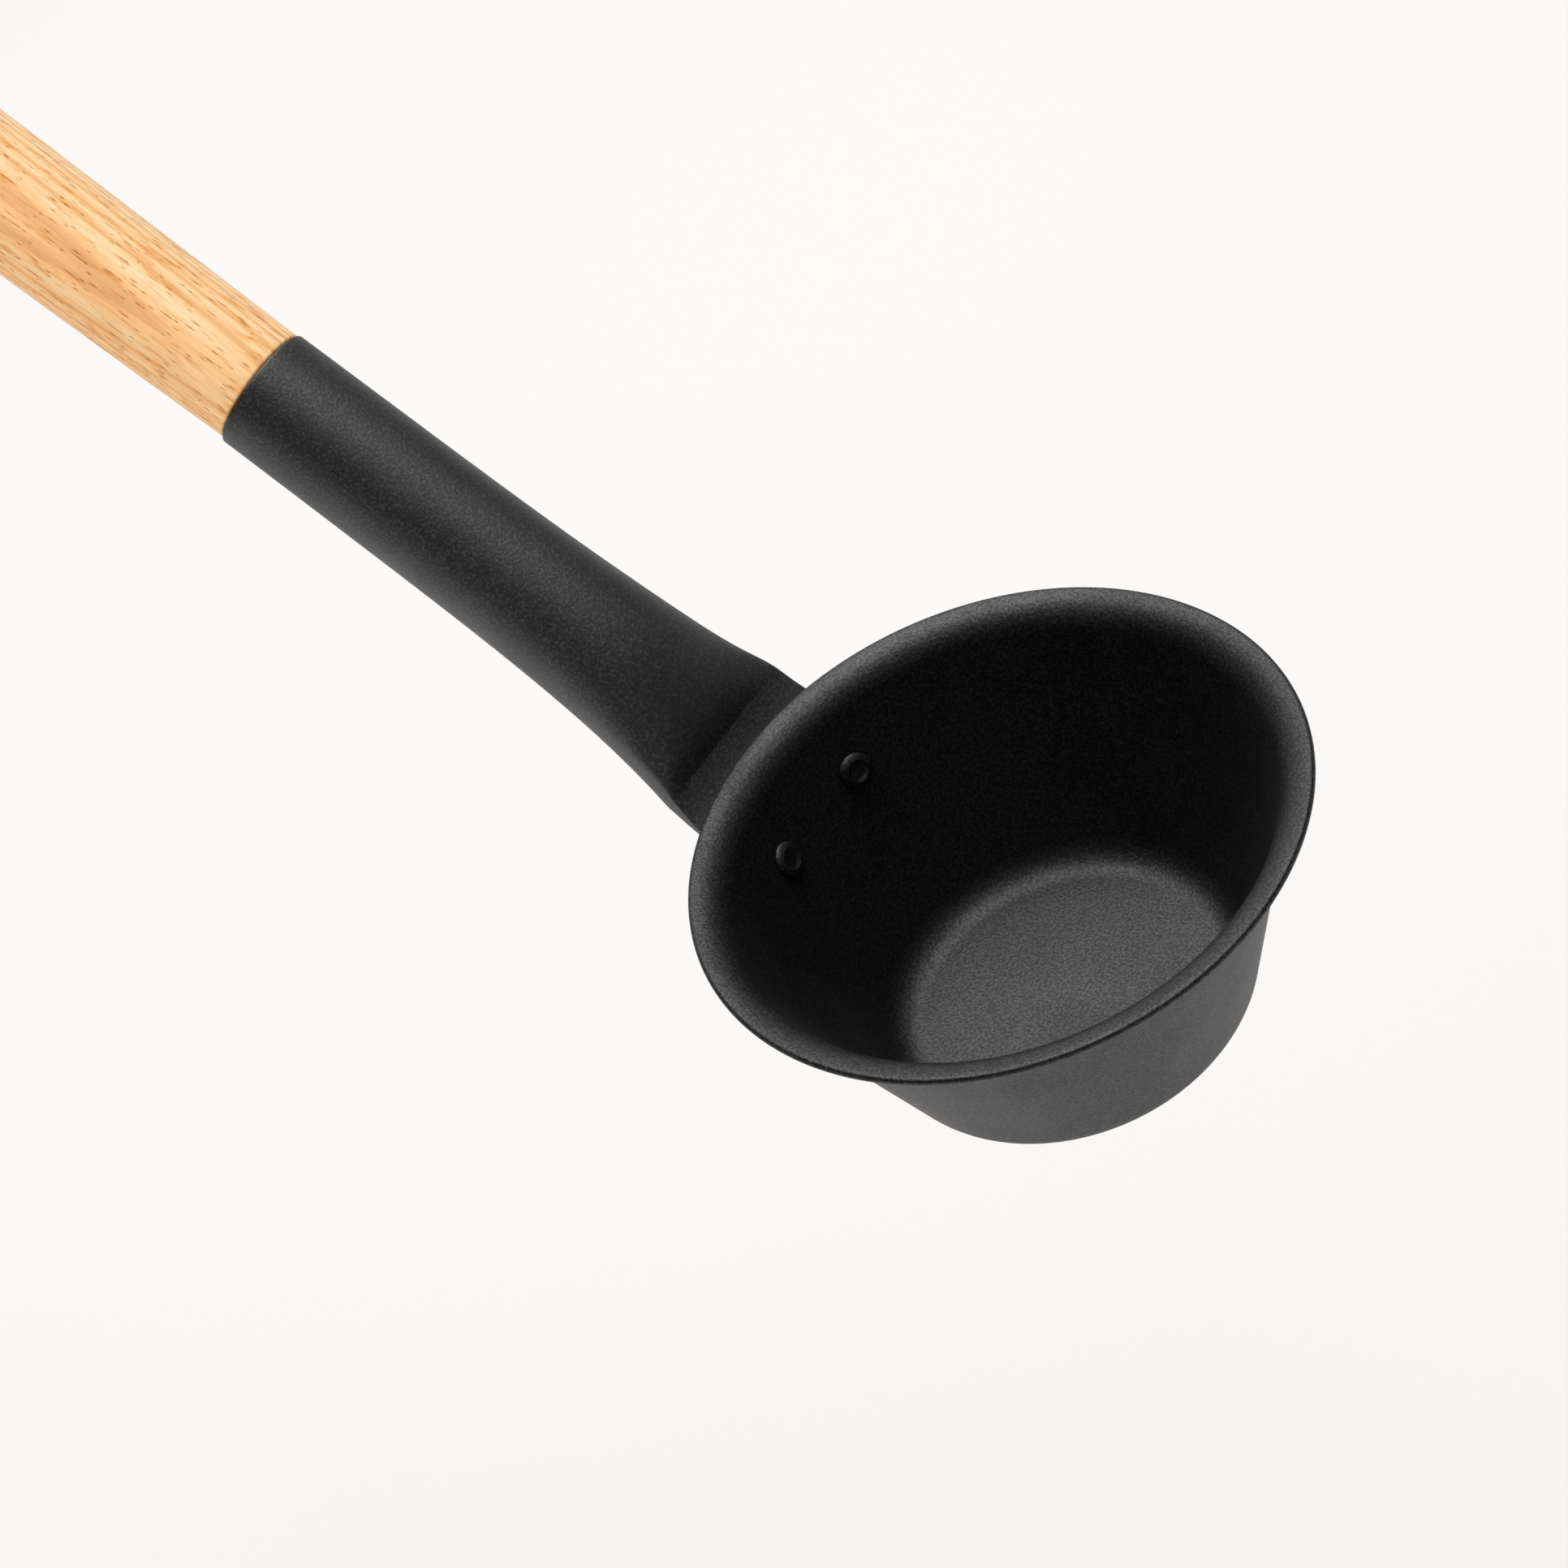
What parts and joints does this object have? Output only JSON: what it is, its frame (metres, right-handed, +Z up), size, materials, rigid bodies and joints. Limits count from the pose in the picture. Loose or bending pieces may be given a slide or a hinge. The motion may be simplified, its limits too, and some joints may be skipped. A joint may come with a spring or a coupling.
{
  "type": "soup ladle",
  "caption": "Deep round ladle: black coated bowl with a flared lip, riveted to a black moulded neck that holds a rising turned wooden handle.",
  "frame": {"origin": "centre of the bowl's flat underside", "axes": "+Z up along the bowl's axis, -X towards the handle, +Y to the left of a person who holds the handle and looks along it at the bowl"},
  "size_m": [0.2672, 0.09, 0.1905],
  "materials": {
    "coated_bowl": "pressed aluminium under a matte black, fine-grained non-stick coating",
    "moulded_neck": "black heat-resistant nylon with a fine spark-textured skin",
    "turned_wood": "pale honey hardwood, fine streaks and pores along the handle, satin oil",
    "coated_rivet": "aluminium rivet coated with the bowl",
    "plain_steel": "plain zinc-grey steel"
  },
  "bodies": {
    "root": {"bowl": "coated_bowl", "neck_moulding": "moulded_neck", "handle": "turned_wood", "handle_stud": "plain_steel", "rivet_left": "coated_rivet", "rivet_right": "coated_rivet", "rivet_washer_left": "plain_steel", "rivet_washer_right": "plain_steel"}
  },
  "joints": []
}
